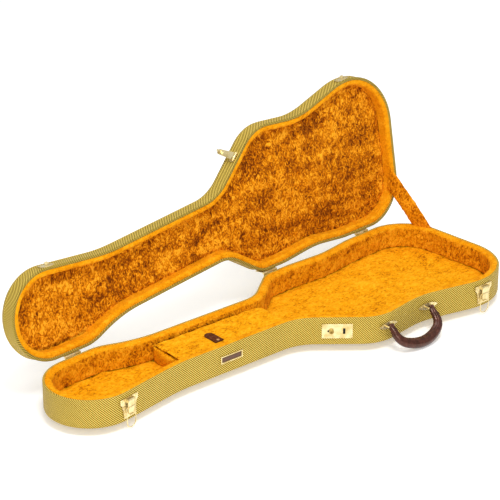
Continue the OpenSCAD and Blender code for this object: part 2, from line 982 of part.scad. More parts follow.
base_bottom_panel();
base_side_wall();
base_floor_pad();
base_side_lining();
headstock_panel();
neck_rest();
box_lid();
box_hinge_tape();
box_pull_tab();
box_tab_rivet();
lid_side_wall();
lid_seam_bead();
lid_arched_top();
lid_side_lining();
lid_head_pad();
lid_body_pad();
stay_strap();
hinge_base_leaf(head_hinge_x);  // head_hinge_base_leaf
hinge_lid_leaf(head_hinge_x);  // head_hinge_lid_leaf
hinge_pin(head_hinge_x);  // head_hinge_pin
hinge_base_leaf(horn_hinge_x);  // horn_hinge_base_leaf
hinge_lid_leaf(horn_hinge_x);  // horn_hinge_lid_leaf
hinge_pin(horn_hinge_x);  // horn_hinge_pin
hinge_base_leaf(tail_hinge_x);  // tail_hinge_base_leaf
hinge_lid_leaf(tail_hinge_x);  // tail_hinge_lid_leaf
hinge_pin(tail_hinge_x);  // tail_hinge_pin
latch_plate(head_latch_spot);  // head_latch_plate
latch_pin(head_latch_spot);  // head_latch_pin
latch_lever(head_latch_spot);  // head_latch_lever
latch_bail(head_latch_spot);  // head_latch_bail
latch_catch(head_latch_spot);  // head_latch_catch
latch_plate(tail_latch_spot);  // tail_latch_plate
latch_pin(tail_latch_spot);  // tail_latch_pin
latch_lever(tail_latch_spot);  // tail_latch_lever
latch_bail(tail_latch_spot);  // tail_latch_bail
latch_catch(tail_latch_spot);  // tail_latch_catch
lock_plate();
lock_case();
lock_knob();
hasp_mount();
hasp_flap();
hasp_pin();
handle_grip();
handle_bracket(head_bracket_spot);  // handle_head_bracket
handle_bracket(tail_bracket_spot);  // handle_tail_bracket
badge_plate();
base_rivets();
lid_rivets();
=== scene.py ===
"""Looks of an open, tweed-covered guitar case with a plush inside, built round its CAD frame.

Lid pieces are made as on the closed case and then turned back about the hinge line.
"""

import json
import math

import bmesh
import bpy
import numpy as np
from mathutils import Matrix, Vector, noise


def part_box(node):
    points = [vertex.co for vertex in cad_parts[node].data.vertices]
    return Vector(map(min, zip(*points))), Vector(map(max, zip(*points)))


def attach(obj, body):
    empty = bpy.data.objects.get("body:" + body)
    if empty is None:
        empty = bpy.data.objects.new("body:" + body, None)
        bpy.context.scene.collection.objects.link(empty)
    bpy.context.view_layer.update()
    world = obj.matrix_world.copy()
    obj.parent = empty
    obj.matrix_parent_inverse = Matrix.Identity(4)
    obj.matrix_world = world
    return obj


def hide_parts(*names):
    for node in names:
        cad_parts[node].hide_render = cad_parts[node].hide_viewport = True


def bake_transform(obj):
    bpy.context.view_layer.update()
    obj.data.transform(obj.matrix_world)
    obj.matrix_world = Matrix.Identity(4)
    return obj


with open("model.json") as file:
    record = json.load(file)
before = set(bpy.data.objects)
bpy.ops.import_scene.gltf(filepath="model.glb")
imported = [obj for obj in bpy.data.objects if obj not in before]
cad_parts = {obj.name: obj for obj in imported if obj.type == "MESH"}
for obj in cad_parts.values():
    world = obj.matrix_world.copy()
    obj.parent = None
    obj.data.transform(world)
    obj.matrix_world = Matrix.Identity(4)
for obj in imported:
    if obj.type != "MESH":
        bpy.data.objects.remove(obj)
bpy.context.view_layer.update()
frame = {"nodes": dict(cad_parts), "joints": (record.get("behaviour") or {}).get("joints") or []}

# ---------------------------------------------------------------- sizes, from the frame
MM = 0.001
JOINTS = {joint["name"]: joint for joint in frame["joints"]}
WALL_LOW, WALL_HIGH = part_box("base_side_wall")
CASE_W = WALL_HIGH.y - WALL_LOW.y
ARCH_H = WALL_LOW.z
HINGE_Y = JOINTS["lid hinges"]["pos_m"][1]
RIM_Z = JOINTS["lid hinges"]["pos_m"][2]
LID_OPEN = math.radians(JOINTS["lid hinges"]["range_deg"][1])
FLOOR_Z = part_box("headstock_panel")[0].z
LINING_INSET = 20 * MM
LID_LINING_INSET = 18 * MM
LID_WALL_H = 28 * MM
CROWN_INSET = 54 * MM
CHINE_INSET = 50 * MM
SHELL_SPACING = 5 * MM
PLUSH_SPACING = 2.7 * MM

# Outline corners seen from above, in mm: from the head end, in from the hinge side, radius.
CORNERS = [
    (0, 200, 95),
    (260, 175, 400),
    (570, 200, 105),
    (695, 320, 95),
    (835, 308, 200),
    (965, 348, 180),
    (1120, 362, 125),
    (1120, 0, 100),
    (930, 0, 300),
    (840, 10, 250),
    (740, 0, 300),
    (670, 0, 60),
    (580, 60, 75),
    (270, 35, 300),
    (190, 0, 110),
    (0, 0, 95),
]


def place(x, d):
    """A spot given from the head end and in from the hinge side, in mm, as x and y of the frame."""
    return Vector((WALL_LOW.x + x * MM, WALL_HIGH.y - d * MM))


def turned(v, angle):
    """The flat vector v turned anticlockwise by angle."""
    c = math.cos(angle)
    s = math.sin(angle)
    return Vector((v.x * c - v.y * s, v.x * s + v.y * c))


def corner_arcs():
    """Centre, start direction, turn and radius of the arc that rounds each corner."""
    spots = [place(x, d) for x, d, _ in CORNERS]
    arcs = []
    for i, here in enumerate(spots):
        way_in = (here - spots[i - 1]).normalized()
        way_out = (spots[(i + 1) % len(spots)] - here).normalized()
        turn = math.atan2(way_in.x * way_out.y - way_in.y * way_out.x, way_in.dot(way_out))
        radius = CORNERS[i][2] * MM
        side = math.copysign(1, turn)
        to_centre = turned(way_in, side * math.pi / 2)
        start = here - way_in * radius * math.tan(abs(turn) / 2)
        arcs.append((start + to_centre * radius, to_centre, turn, radius, side))
    return arcs


ARCS = corner_arcs()


def arc_ends(arc, inset):
    """First and last point of a corner's arc, moved inwards by inset."""
    centre, to_centre, turn, radius, side = arc
    reach = radius - side * inset
    return centre - to_centre * reach, centre - turned(to_centre, turn) * reach


def outline(inset, spacing):
    """Points round the case, inset all round. Every inset gives the same number of points."""
    points = []
    for i, (centre, to_centre, turn, radius, side) in enumerate(ARCS):
        steps = max(3, math.ceil(abs(turn) * radius / spacing))
        reach = radius - side * inset
        points += [centre - turned(to_centre, turn * k / steps) * reach for k in range(steps + 1)]
        following = ARCS[(i + 1) % len(ARCS)]
        gap = arc_ends(following, 0)[0] - arc_ends(ARCS[i], 0)[1]
        count = max(1, round(gap.length / spacing))
        end = points[-1].copy()
        points += [end + gap * k / count for k in range(1, count)]
    return np.array([(p.x, p.y) for p in points])


# ---------------------------------------------------------------- mesh helpers
def mesh_object(name, vertices, faces, uvs=None):
    """A smooth-shaded mesh object. uvs gives one (u, v) in metres for each vertex."""
    mesh = bpy.data.meshes.new(name)
    mesh.from_pydata([tuple(v) for v in vertices], [], faces)
    if uvs is not None:
        layer = mesh.uv_layers.new(name="cloth")
        corners = np.array([loop.vertex_index for loop in mesh.loops])
        layer.data.foreach_set("uv", np.array(uvs, float)[corners].ravel())
    mesh.shade_smooth()
    mesh.update()
    obj = bpy.data.objects.new(name, mesh)
    bpy.context.scene.collection.objects.link(obj)
    return obj


def swept(name, profile, spacing):
    """Sweeps a profile of (inset, height) round the outline. UVs run along the wall and up it."""
    rings = [outline(inset, spacing) for inset, _ in profile]
    n = len(rings[0])
    base = outline(0, spacing)
    along = np.concatenate([[0], np.cumsum(np.linalg.norm(np.diff(base, axis=0), axis=1))])
    profile_xy = np.array(profile)
    up = np.concatenate([[0], np.cumsum(np.linalg.norm(np.diff(profile_xy, axis=0), axis=1))])
    vertices = []
    uvs = []
    for ring, (_, height), v in zip(rings, profile, up):
        closed = np.vstack([ring, ring[:1]])
        u = np.concatenate([along, [along[-1] + np.linalg.norm(base[0] - base[-1])]])
        vertices += [(x, y, height) for x, y in closed]
        uvs += [(du, v) for du in u]
    row = n + 1
    faces = [
        (k * row + i, (k + 1) * row + i, (k + 1) * row + i + 1, k * row + i + 1)
        for k in range(len(profile) - 1)
        for i in range(n)
    ]
    obj = mesh_object(name, vertices, faces, uvs)
    bm = bmesh.new()
    bm.from_mesh(obj.data)
    bmesh.ops.remove_doubles(bm, verts=bm.verts, dist=1e-6)
    bmesh.ops.recalc_face_normals(bm, faces=bm.faces)
    bm.to_mesh(obj.data)
    bm.free()
    obj.data.shade_smooth()
    return obj


def capped(obj, height):
    """Closes the open ring of a swept panel that lies at the given height with one flat face."""
    bm = bmesh.new()
    bm.from_mesh(obj.data)
    ring = [e for e in bm.edges if e.is_boundary and all(abs(v.co.z - height) < 1e-6 for v in e.verts)]
    made = bmesh.ops.contextual_create(bm, geom=ring)["faces"]
    layer = bm.loops.layers.uv["cloth"]
    for face in made:
        for loop in face.loops:
            loop[layer].uv = (loop.vert.co.x, loop.vert.co.y)
    bmesh.ops.triangulate(bm, faces=made)
    bmesh.ops.recalc_face_normals(bm, faces=bm.faces)
    bm.to_mesh(obj.data)
    bm.free()
    obj.data.shade_smooth()
    return obj


def filled_grid(name, inset, spacing, height):
    """A net of quads inside the inset outline. height(x, y, edge) gives z, where edge is the distance
    from the outline."""
    ring = outline(inset, 2 * MM)
    front_end = int(np.argmax(ring[:, 0] - 1e-4 * ring[:, 1]))
    first = int(np.argmin(ring[:, 0] + 1e-4 * np.abs(ring[:, 1])))
    rolled = np.roll(ring, -first, axis=0)
    last = (front_end - first) % len(ring)
    front = rolled[: last + 1]
    back = np.vstack([rolled[last:], rolled[:1]])[::-1]
    low, high = ring[:, 0].min(), ring[:, 0].max()
    columns = int((high - low) / spacing)
    rows = int(CASE_W / spacing * 0.8)
    ease = np.linspace(0, 1, columns + 1)
    ends = 0.06
    warp = ease - ends * np.sin(2 * math.pi * ease) / (2 * math.pi)
    xs = low + (high - low) * warp
    front_y = np.interp(xs, np.maximum.accumulate(front[:, 0]), front[:, 1])
    back_y = np.interp(xs, np.maximum.accumulate(back[:, 0]), back[:, 1])
    vertices = []
    uvs = []
    for x, y0, y1 in zip(xs, front_y, back_y):
        for j in range(rows + 1):
            y = y0 + (y1 - y0) * j / rows
            vertices.append([x, y, 0])
            uvs.append((x, y))
    vertices = np.array(vertices)
    edges = edge_distance(vertices[:, :2], ring)
    vertices[:, 2] = [height(x, y, e) for (x, y, _), e in zip(vertices, edges)]
    faces = [
        (i * (rows + 1) + j, (i + 1) * (rows + 1) + j, (i + 1) * (rows + 1) + j + 1, i * (rows + 1) + j + 1)
        for i in range(columns)
        for j in range(rows)
    ]
    return mesh_object(name, vertices, faces, uvs)


def edge_distance(points, ring):
    """Distance from each point to the nearest point of the ring."""
    nearest = np.full(len(points), 1e9)
    for chunk in np.array_split(ring[::2], 12):
        gap = np.linalg.norm(points[:, None, :] - chunk[None], axis=2).min(axis=1)
        nearest = np.minimum(nearest, gap)
    return nearest


LID_TURN = (
    Matrix.Translation((0, HINGE_Y, RIM_Z))
    @ Matrix.Rotation(-LID_OPEN, 4, "X")
    @ Matrix.Translation((0, -HINGE_Y, -RIM_Z))
)


def on_lid(obj):
    """Turns a piece made on the closed lid back to where the open lid is."""
    obj.data.transform(LID_TURN)
    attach(obj, "lid")
    return obj


def fractal(p, scale, octaves=3, seed=0.0):
    """Smooth noise from about -1 to 1 at a point in metres, with features of size 1 / scale."""
    return noise.fractal(Vector((p[0] * scale + seed, p[1] * scale, p[2] * scale)), 1.0, 2.0, octaves)


def plush_pile(obj, depth, seed, stretch=(1, 1, 1), hold=None):
    """Raises tufts along the normals and stores their height, from 0 to 1, for the material, which paints
    shade on the low tufts and light on the high ones.
    hold(point) from 0 to 1 says how much of the tufts a point keeps."""
    mesh = obj.data
    count = len(mesh.vertices)
    co = np.zeros(count * 3)
    mesh.vertices.foreach_get("co", co)
    co = co.reshape(-1, 3)
    normals = np.zeros(count * 3)
    mesh.vertices.foreach_get("normal", normals)
    normals = normals.reshape(-1, 3)
    heights = np.zeros(count)
    for i, p in enumerate(co):
        q = (p[0] * stretch[0], p[1] * stretch[1], p[2] * stretch[2])
        clumps = fractal(q, 45, 2, seed)
        tufts = fractal(q, 120, 2, seed + 7)
        heights[i] = 0.55 * clumps + 0.6 * tufts
    keep = np.ones(count) if hold is None else np.array([hold(p) for p in co])
    co += normals * (depth * heights * keep)[:, None]
    mesh.vertices.foreach_set("co", co.ravel())
    pile = mesh.attributes.new("pile", "FLOAT", "POINT")
    pile.data.foreach_set("value", np.clip(0.5 + 0.5 * heights, 0, 1).astype(np.float32))
    mesh.update()
    return obj


# ---------------------------------------------------------------- materials
def srgb(r, g, b):
    """An sRGB colour given from 0 to 255, as the linear colour of a shader."""
    def linear(c):
        """One channel without its display curve."""
        c /= 255
        return c / 12.92 if c <= 0.04045 else ((c + 0.055) / 1.055) ** 2.4
    return (linear(r), linear(g), linear(b), 1)


class Nodes:
    """Short names for building a material's node tree."""

    def __init__(self, name):
        self.material = bpy.data.materials.new(name)
        self.material.use_nodes = True
        self.tree = self.material.node_tree
        self.shader = self.tree.nodes["Principled BSDF"]

    def add(self, kind, **settings):
        """A new node with the given settings."""
        node = self.tree.nodes.new(kind)
        for key, value in settings.items():
            setattr(node, key, value)
        return node

    def link(self, source, target):
        """Joins an output to an input."""
        self.tree.links.new(source, target)

    def math(self, operation, *operands):
        """Arithmetic on outputs or numbers."""
        node = self.add("ShaderNodeMath", operation=operation)
        for socket, value in zip(node.inputs, operands):
            if isinstance(value, (int, float)):
                socket.default_value = value
            else:
                self.link(value, socket)
        return node.outputs[0]

    def noise(self, vector, scale, detail=2.0, distortion=0.0):
        """Cloudy noise from 0 to 1."""
        node = self.add("ShaderNodeTexNoise")
        node.inputs["Scale"].default_value = scale
        node.inputs["Detail"].default_value = detail
        node.inputs["Distortion"].default_value = distortion
        self.link(vector, node.inputs["Vector"])
        return node.outputs["Fac"]

    def ramp(self, factor, stops):
        """Colours between stops of (position, colour)."""
        node = self.add("ShaderNodeValToRGB")
        elements = node.color_ramp.elements
        while len(elements) < len(stops):
            elements.new(0.5)
        for element, (position, colour) in zip(elements, stops):
            element.position = position
            element.color = colour
        self.link(factor, node.inputs["Fac"])
        return node.outputs["Color"]

    def bump(self, height, distance, strength):
        """A normal bent by height, which is distance metres high at 1."""
        node = self.add("ShaderNodeBump")
        node.inputs["Distance"].default_value = distance
        node.inputs["Strength"].default_value = strength
        self.link(height, node.inputs["Height"])
        return node.outputs["Normal"]

    def coordinates(self):
        """Where a point of the surface is."""
        return self.add("ShaderNodeTexCoord").outputs["Object"]

    def scaled(self, vector, scale):
        """A vector multiplied by scale on each axis."""
        node = self.add("ShaderNodeMapping")
        node.inputs["Scale"].default_value = scale
        self.link(vector, node.inputs["Vector"])
        return node.outputs["Vector"]


RIB_PITCH = 3.5 * MM
RIB_ANGLE = math.radians(45)
YARN_PITCH = 1.1 * MM


def tweed_material(name, stops):
    """Woven cloth with diagonal ribs. stops are the colours from the grooves to the ribs."""
    n = Nodes(name)
    uv = n.add("ShaderNodeUVMap", uv_map="cloth").outputs["UV"]
    parts = n.add("ShaderNodeSeparateXYZ")
    n.link(uv, parts.inputs[0])
    across_u = n.math("MULTIPLY", parts.outputs["X"], math.sin(RIB_ANGLE))
    across_v = n.math("MULTIPLY", parts.outputs["Y"], -math.cos(RIB_ANGLE))
    along_u = n.math("MULTIPLY", parts.outputs["X"], math.cos(RIB_ANGLE))
    along_v = n.math("MULTIPLY", parts.outputs["Y"], math.sin(RIB_ANGLE))
    across = n.math("ADD", across_u, across_v)
    along = n.math("ADD", along_u, along_v)
    wander = n.math("MULTIPLY", n.noise(uv, 90), 1.6 * MM)
    rib_phase = n.math("MULTIPLY", n.math("ADD", across, wander), 2 * math.pi / RIB_PITCH)
    rib = n.math("MULTIPLY_ADD", n.math("SINE", rib_phase), 0.5, 0.5)
    yarn_phase = n.math("MULTIPLY", along, 2 * math.pi / YARN_PITCH)
    yarn = n.math("MULTIPLY_ADD", n.math("SINE", yarn_phase), 0.5, 0.5)
    flecks = n.noise(uv, 620, 2.0)
    patches = n.noise(uv, 14, 2.0)
    shade = n.math("ADD", n.math("MULTIPLY", rib, 0.84), n.math("MULTIPLY", yarn, 0.03))
    shade = n.math("ADD", shade, n.math("MULTIPLY", flecks, 0.16))
    shade = n.math("ADD", shade, n.math("MULTIPLY", n.math("SUBTRACT", patches, 0.5), 0.12))
    colour = n.ramp(shade, stops)
    n.link(colour, n.shader.inputs["Base Color"])
    height = n.math("ADD", n.math("MULTIPLY", rib, 0.7), n.math("MULTIPLY", yarn, 0.3))
    n.link(n.bump(height, 0.35 * MM, 0.8), n.shader.inputs["Normal"])
    roughness = n.math("MULTIPLY_ADD", flecks, 0.3, 0.38)
    n.link(roughness, n.shader.inputs["Roughness"])
    n.shader.inputs["Specular IOR Level"].default_value = 0.12
    return n.material


def plush_material(name, stops, streak, contrast=1.0, folds=(1, 1, 1), fold_shade_depth=0.5):
    """Crushed pile. stops are the colours from dark to light: the dark ones paint shade in the hollows
    between the tufts, the light ones paint light on their tips. streak and folds stretch the tufts and the
    broad patches of painted light and shade along an axis."""
    n = Nodes(name)
    where = n.scaled(n.coordinates(), streak)
    # Broad patches of painted light and shade, standing for folds in the pile.
    fold_shade_spot = n.scaled(n.coordinates(), folds)
    pile = n.add("ShaderNodeAttribute", attribute_name="pile").outputs["Fac"]
    patches = n.noise(fold_shade_spot, 26, 2.0, 0.6)
    tufts = n.noise(where, 120, 3.0, 1.8)
    fibres = n.noise(where, 380, 2.0, 1.0)
    # The height of the tufts paints light on high tufts and shade on low ones.
    shade = n.math("MULTIPLY", pile, 0.42)
    for part, weight in ((patches, fold_shade_depth), (tufts, 1.5), (fibres, 0.7)):
        shade = n.math("ADD", shade, n.math("MULTIPLY", n.math("SUBTRACT", part, 0.5), weight * contrast))
    shade = n.math("ADD", shade, 0.29)
    n.link(n.ramp(shade, stops), n.shader.inputs["Base Color"])
    height = n.math("ADD", n.math("MULTIPLY", tufts, 0.7), n.math("MULTIPLY", fibres, 0.5))
    n.link(n.bump(height, 2.5 * MM, 0.9), n.shader.inputs["Normal"])
    n.shader.inputs["Roughness"].default_value = 0.9
    n.shader.inputs["Specular IOR Level"].default_value = 0.08
    n.shader.inputs["Sheen Weight"].default_value = 0.15
    n.shader.inputs["Sheen Roughness"].default_value = 0.5
    n.shader.inputs["Sheen Tint"].default_value = srgb(250, 170, 40)
    return n.material


def brass_material(name, stops):
    """Brushed brass plating. stops are the colours of stained and clean metal."""
    n = Nodes(name)
    where = n.coordinates()
    brushed = n.noise(n.scaled(where, (1, 1, 8)), 300, 2.0)
    stains = n.noise(where, 60, 3.0)
    n.link(n.ramp(stains, stops), n.shader.inputs["Base Color"])
    n.shader.inputs["Metallic"].default_value = 0.75
    roughness = n.math("MULTIPLY_ADD", brushed, 0.2, 0.18)
    n.link(roughness, n.shader.inputs["Roughness"])
    n.link(n.bump(brushed, 0.02 * MM, 0.3), n.shader.inputs["Normal"])
    return n.material


def leather_material():
    """Dark, glossy leather with a fine grain."""
    n = Nodes("leather")
    where = n.coordinates()
    grain = n.add("ShaderNodeTexVoronoi", feature="DISTANCE_TO_EDGE")
    grain.inputs["Scale"].default_value = 900
    n.link(where, grain.inputs["Vector"])
    creases = n.noise(where, 110, 3.0)
    colour = n.ramp(creases, [(0.3, srgb(46, 22, 14)), (0.55, srgb(70, 36, 28)), (0.8, srgb(100, 60, 48))])
    n.link(colour, n.shader.inputs["Base Color"])
    height = n.math("ADD", n.math("MULTIPLY", grain.outputs["Distance"], 2.0), creases)
    n.link(n.bump(height, 0.06 * MM, 0.3), n.shader.inputs["Normal"])
    n.shader.inputs["Roughness"].default_value = 0.24
    n.shader.inputs["Specular IOR Level"].default_value = 0.55
    n.shader.inputs["Specular Tint"].default_value = srgb(255, 214, 196)
    return n.material


def plain_material(name, colour, roughness):
    """A dark, nearly even surface with a fine grain."""
    n = Nodes(name)
    grain = n.noise(n.coordinates(), 700, 2.0)
    darker = tuple(c * 0.7 for c in colour[:3]) + (1,)
    n.link(n.ramp(grain, [(0.3, darker), (0.7, colour)]), n.shader.inputs["Base Color"])
    n.link(n.bump(grain, 0.1 * MM, 0.5), n.shader.inputs["Normal"])
    n.shader.inputs["Roughness"].default_value = roughness
    return n.material


TWEED = tweed_material(
    "tweed",
    [
        (0.16, srgb(90, 66, 2)),
        (0.4, srgb(144, 116, 20)),
        (0.66, srgb(194, 164, 56)),
        (0.9, srgb(236, 206, 108)),
    ],
)
# Darker copy of the tweed for the rim edge of the lid: painted shade on the rim edge.
SHADED_RIM_TWEED = tweed_material(
    "tweed_rim_painted_shade",
    [
        (0.2, srgb(58, 44, 4)),
        (0.42, srgb(112, 92, 22)),
        (0.62, srgb(162, 138, 48)),
        (0.88, srgb(208, 184, 88)),
    ],
)
BRASS = brass_material("brass", [(0.3, srgb(206, 180, 112)), (0.6, srgb(238, 220, 166))])
# Darker brass for the lock knob: painted shade that sets the knob apart from its plate.
SHADED_KNOB_BRASS = brass_material("brass_knob_painted_shade", [(0.3, srgb(128, 98, 36)), (0.6, srgb(196, 168, 92))])
LEATHER = leather_material()
# Near black for the lock case behind the plate: painted shade in the slot of the lock.
SLOT_SHADE_BLACK = plain_material("slot_painted_shade", srgb(22, 18, 16), 0.6)
ENAMEL = plain_material("brown_enamel", srgb(96, 58, 34), 0.35)
# Darker, more contrasted copy of the plush for the inside of the lid: painted shade, with long streaks of
# painted light and shade along its folds.
SHADED_LID_PLUSH = plush_material(
    "plush_lid_painted_shade",
    [
        (0.08, srgb(92, 38, 0)),
        (0.34, srgb(154, 78, 0)),
        (0.58, srgb(208, 122, 0)),
        (0.92, srgb(248, 172, 36)),
    ],
    streak=(1, 1, 0.7),
    contrast=1.25,
    folds=(0.35, 1, 1),
    fold_shade_depth=0.85,
)
BASE_PLUSH = plush_material(
    "plush_base",
    [
        (0.04, srgb(108, 52, 0)),
        (0.26, srgb(176, 102, 0)),
        (0.5, srgb(220, 142, 4)),
        (0.88, srgb(246, 176, 34)),
    ],
    streak=(1, 1, 0.7),
    contrast=1.1,
)
# Lighter copy of the plush for the rolled edges and the lid's padded wall: painted highlight.
LIT_RIM_PLUSH = plush_material(
    "plush_rim_painted_highlight",
    [
        (0.02, srgb(170, 92, 0)),
        (0.22, srgb(210, 128, 0)),
        (0.5, srgb(234, 152, 6)),
        (0.85, srgb(248, 178, 34)),
    ],
    streak=(1, 1, 1),
    contrast=0.8,
)
FLOOR_PLUSH = plush_material(
    "plush_floor",
    [
        (0.04, srgb(130, 66, 0)),
        (0.22, srgb(200, 124, 0)),
        (0.46, srgb(234, 156, 2)),
        (0.85, srgb(250, 182, 30)),
    ],
    streak=(0.7, 1, 1),
    contrast=1.0,
)
STRAP_PLUSH = plush_material(
    "plush_strap",
    [
        (0.1, srgb(128, 60, 0)),
        (0.34, srgb(186, 106, 0)),
        (0.56, srgb(222, 138, 4)),
        (0.9, srgb(246, 170, 34)),
    ],
    streak=(1, 1, 0.7),
    contrast=1.1,
)


def dressed(obj, material):
    """Gives a piece its only material."""
    obj.data.materials.clear()
    obj.data.materials.append(material)
    return obj


# ---------------------------------------------------------------- tweed shells
def base_shell():
    """Side wall and arched bottom in one skin, from the rim down and under."""
    edge = 2 * MM
    top = RIM_Z - 1 * MM
    rim = [
        (edge * (1 - math.sin(t)), top - edge + edge * math.cos(t))
        for t in np.linspace(0, math.pi / 2, 5)
    ]
    wall = [(0, z) for z in np.linspace(top - 2 * edge, ARCH_H + 3 * MM, 7)]
    under = [
        (CHINE_INSET * s, ARCH_H * (1 - s) ** 1.1)
        for s in (0.02, 0.06, 0.15, 0.3, 0.45, 0.6, 0.75, 0.9, 1)
    ]
    inner = [(5 * MM, top - 1 * MM)]
    obj = swept("base_tweed_shell", inner + rim + wall + under, SHELL_SPACING)
    capped(obj, 0.0)
    open_behind_lock(obj)
    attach(obj, "base")
    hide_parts("base_side_wall", "base_bottom_panel")
    return dressed(obj, TWEED)


def open_behind_lock(obj):
    """Opens the skin behind the lock plate, where the lock case is let into the wall."""
    low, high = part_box("lock_plate")
    middle = (low + high) / 2
    half_w = 17 * MM
    reach = 30 * MM
    half_h = 8 * MM
    bm = bmesh.new()
    bm.from_mesh(obj.data)
    behind = []
    for face in bm.faces:
        gap = face.calc_center_median() - middle
        if abs(gap.x) < half_w and abs(gap.y) < reach and abs(gap.z) < half_h:
            behind.append(face)
    bmesh.ops.delete(bm, geom=behind, context="FACES")
    bm.to_mesh(obj.data)
    bm.free()


def lid_shell():
    """Rim edge, side wall, seam bead and arched top in one skin."""
    low = RIM_Z + 0.5 * MM
    high = RIM_Z + LID_WALL_H
    edge = 1.6 * MM
    rim = [(6.2 * MM, low + 2 * MM), (6 * MM, low + 0.4 * MM), (5.4 * MM, low)]
    rim += [
        (edge * (1 - math.sin(t)), low + edge * (1 - math.cos(t)))
        for t in np.linspace(0, math.pi / 2, 5)
    ]
    wall = [(0, z) for z in np.linspace(low + 4 * MM, high - 2.5 * MM, 5)]
    bead = [
        (0, high - 1.4 * MM),
        (-0.8 * MM, high - 0.9 * MM),
        (-1 * MM, high),
        (-0.8 * MM, high + 0.9 * MM),
        (0, high + 1.2 * MM),
    ]
    shoulder = []
    roundness = 2 / 2.4
    for t in np.linspace(6, 90, 13):
        inwards = 1 - math.cos(math.radians(t)) ** roundness
        upwards = math.sin(math.radians(t)) ** roundness
        shoulder.append((CROWN_INSET * inwards, high + 1 * MM + ARCH_H * upwards))
    obj = swept("lid_tweed_shell", rim + wall + bead + shoulder, SHELL_SPACING)
    capped(obj, shoulder[-1][1])
    rim_faces = [face.index for face in obj.data.polygons if face.center.z < low + 0.9 * MM]
    on_lid(obj)
    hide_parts("lid_side_wall", "lid_arched_top", "lid_seam_bead")
    dressed(obj, TWEED)
    # The rim edge faces take the darker tweed, which paints shade on them.
    obj.data.materials.append(SHADED_RIM_TWEED)
    for index in rim_faces:
        obj.data.polygons[index].material_index = 1
    return obj


# ---------------------------------------------------------------- plush linings
def base_lining():
    """Padded side wall of the base with its rolled top edge."""
    top = RIM_Z - 0.6 * MM
    inside = LINING_INSET
    profile = [(4 * MM, top - 2.6 * MM), (4.6 * MM, top - 1 * MM), (6.5 * MM, top), (10 * MM, top)]
    roll = 7 * MM
    profile += [
        (inside - roll + roll * math.sin(t), top - roll + roll * math.cos(t))
        for t in np.linspace(0.15, math.pi / 2, 5)
    ]
    profile += [(inside, z) for z in np.linspace(top - roll - 3 * MM, FLOOR_Z + 4 * MM, 12)]
    profile += [(inside - 1 * MM, FLOOR_Z + 1 * MM)]
    obj = swept("base_plush_lining", profile, PLUSH_SPACING)

    def hold(p):
        """The top of the roll keeps less than a third of the height of the tufts."""
        return 1.0 if p[2] < top - 1.5 * MM else 0.3

    plush_pile(obj, 2.0 * MM, 3, hold=hold)
    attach(obj, "base")
    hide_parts("base_side_lining")
    dressed(obj, BASE_PLUSH)
    obj.data.materials.append(LIT_RIM_PLUSH)
    # The top of the roll takes the lighter plush: a painted highlight.
    for face in obj.data.polygons:
        if face.center.z > top - 0.8 * roll:
            face.material_index = 1
    return obj


def base_floor():
    """Crushed plush over the floor, sinking into a groove along the walls."""
    def height(x, y, edge):
        """Top of the floor, with a groove along the walls."""
        groove = 1.6 * MM * math.exp(-((edge - 3 * MM) / (3 * MM)) ** 2)
        swell = 1.2 * MM * fractal((x, y, 0), 9, 2, 11)
        wrinkles = 1.1 * MM * fractal((x, 0.5 * y, 0), 38, 2, 17)
        return FLOOR_Z + 0.8 * MM + swell + wrinkles - groove

    obj = filled_grid("base_plush_floor", LINING_INSET - 3 * MM, PLUSH_SPACING, height)
    plush_pile(obj, 2.2 * MM, 21, (0.6, 1, 1))
    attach(obj, "base")
    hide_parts("base_floor_pad")
    return dressed(obj, FLOOR_PLUSH)


def lid_lining():
    """Padded side wall of the lid with its rolled edge."""
    low = RIM_Z + 1.2 * MM
    deep = RIM_Z + LID_WALL_H - 3 * MM
    inside = LID_LINING_INSET
    roll = 6 * MM
    profile = [(6 * MM, low + 1.5 * MM), (7 * MM, low + 0.3 * MM), (9 * MM, low)]
    profile += [
        (inside - roll + roll * math.sin(t), low + roll - roll * math.cos(t))
        for t in np.linspace(0.15, math.pi / 2, 5)
    ]
    profile += [(inside, z) for z in np.linspace(low + roll + 2 * MM, deep, 6)]
    obj = swept("lid_plush_lining", profile, PLUSH_SPACING)
    plush_pile(obj, 1.1 * MM, 5)
    on_lid(obj)
    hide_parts("lid_side_lining")
    # The lid's padded wall takes the lighter plush: a painted highlight.
    return dressed(obj, LIT_RIM_PLUSH)


def lid_panel():
    """Crushed plush over the inside of the lid, with long folds and a cross seam at the head."""
    head_seam = place(190, 0).x
    ridge_y = place(0, 190).y
    ridge_start = place(640, 0).x
    head_rise = 27 * MM
    body_rise = 23.5 * MM

    def height(x, y, edge):
        """Inside face of the closed lid, with the fold, the crease and the seam in it."""
        rise = RIM_Z + (body_rise if x > head_seam else head_rise)
        groove = 2 * MM * math.exp(-((edge - 4 * MM) / (4 * MM)) ** 2)
        folds = 3.2 * MM * fractal((x * 0.25, y, 0), 20, 2, 31)
        crease = -2.5 * MM * math.exp(-(((y - ridge_y) / (8 * MM)) ** 2)) if x > ridge_start else 0
        seam = 3 * MM * math.exp(-(((x - head_seam) / (3 * MM)) ** 2))
        return rise + groove + folds + crease + seam

    obj = filled_grid("lid_plush_panel", LID_LINING_INSET - 3 * MM, PLUSH_SPACING, height)
    obj.data.flip_normals()
    plush_pile(obj, 3.4 * MM, 41, (1, 0.6, 1))
    on_lid(obj)
    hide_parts("lid_head_pad", "lid_body_pad")
    # The inside of the lid takes the darker plush: painted shade.
    return dressed(obj, SHADED_LID_PLUSH)


# ---------------------------------------------------------------- padded pieces by cloth simulation
SIM_FRAMES = 20


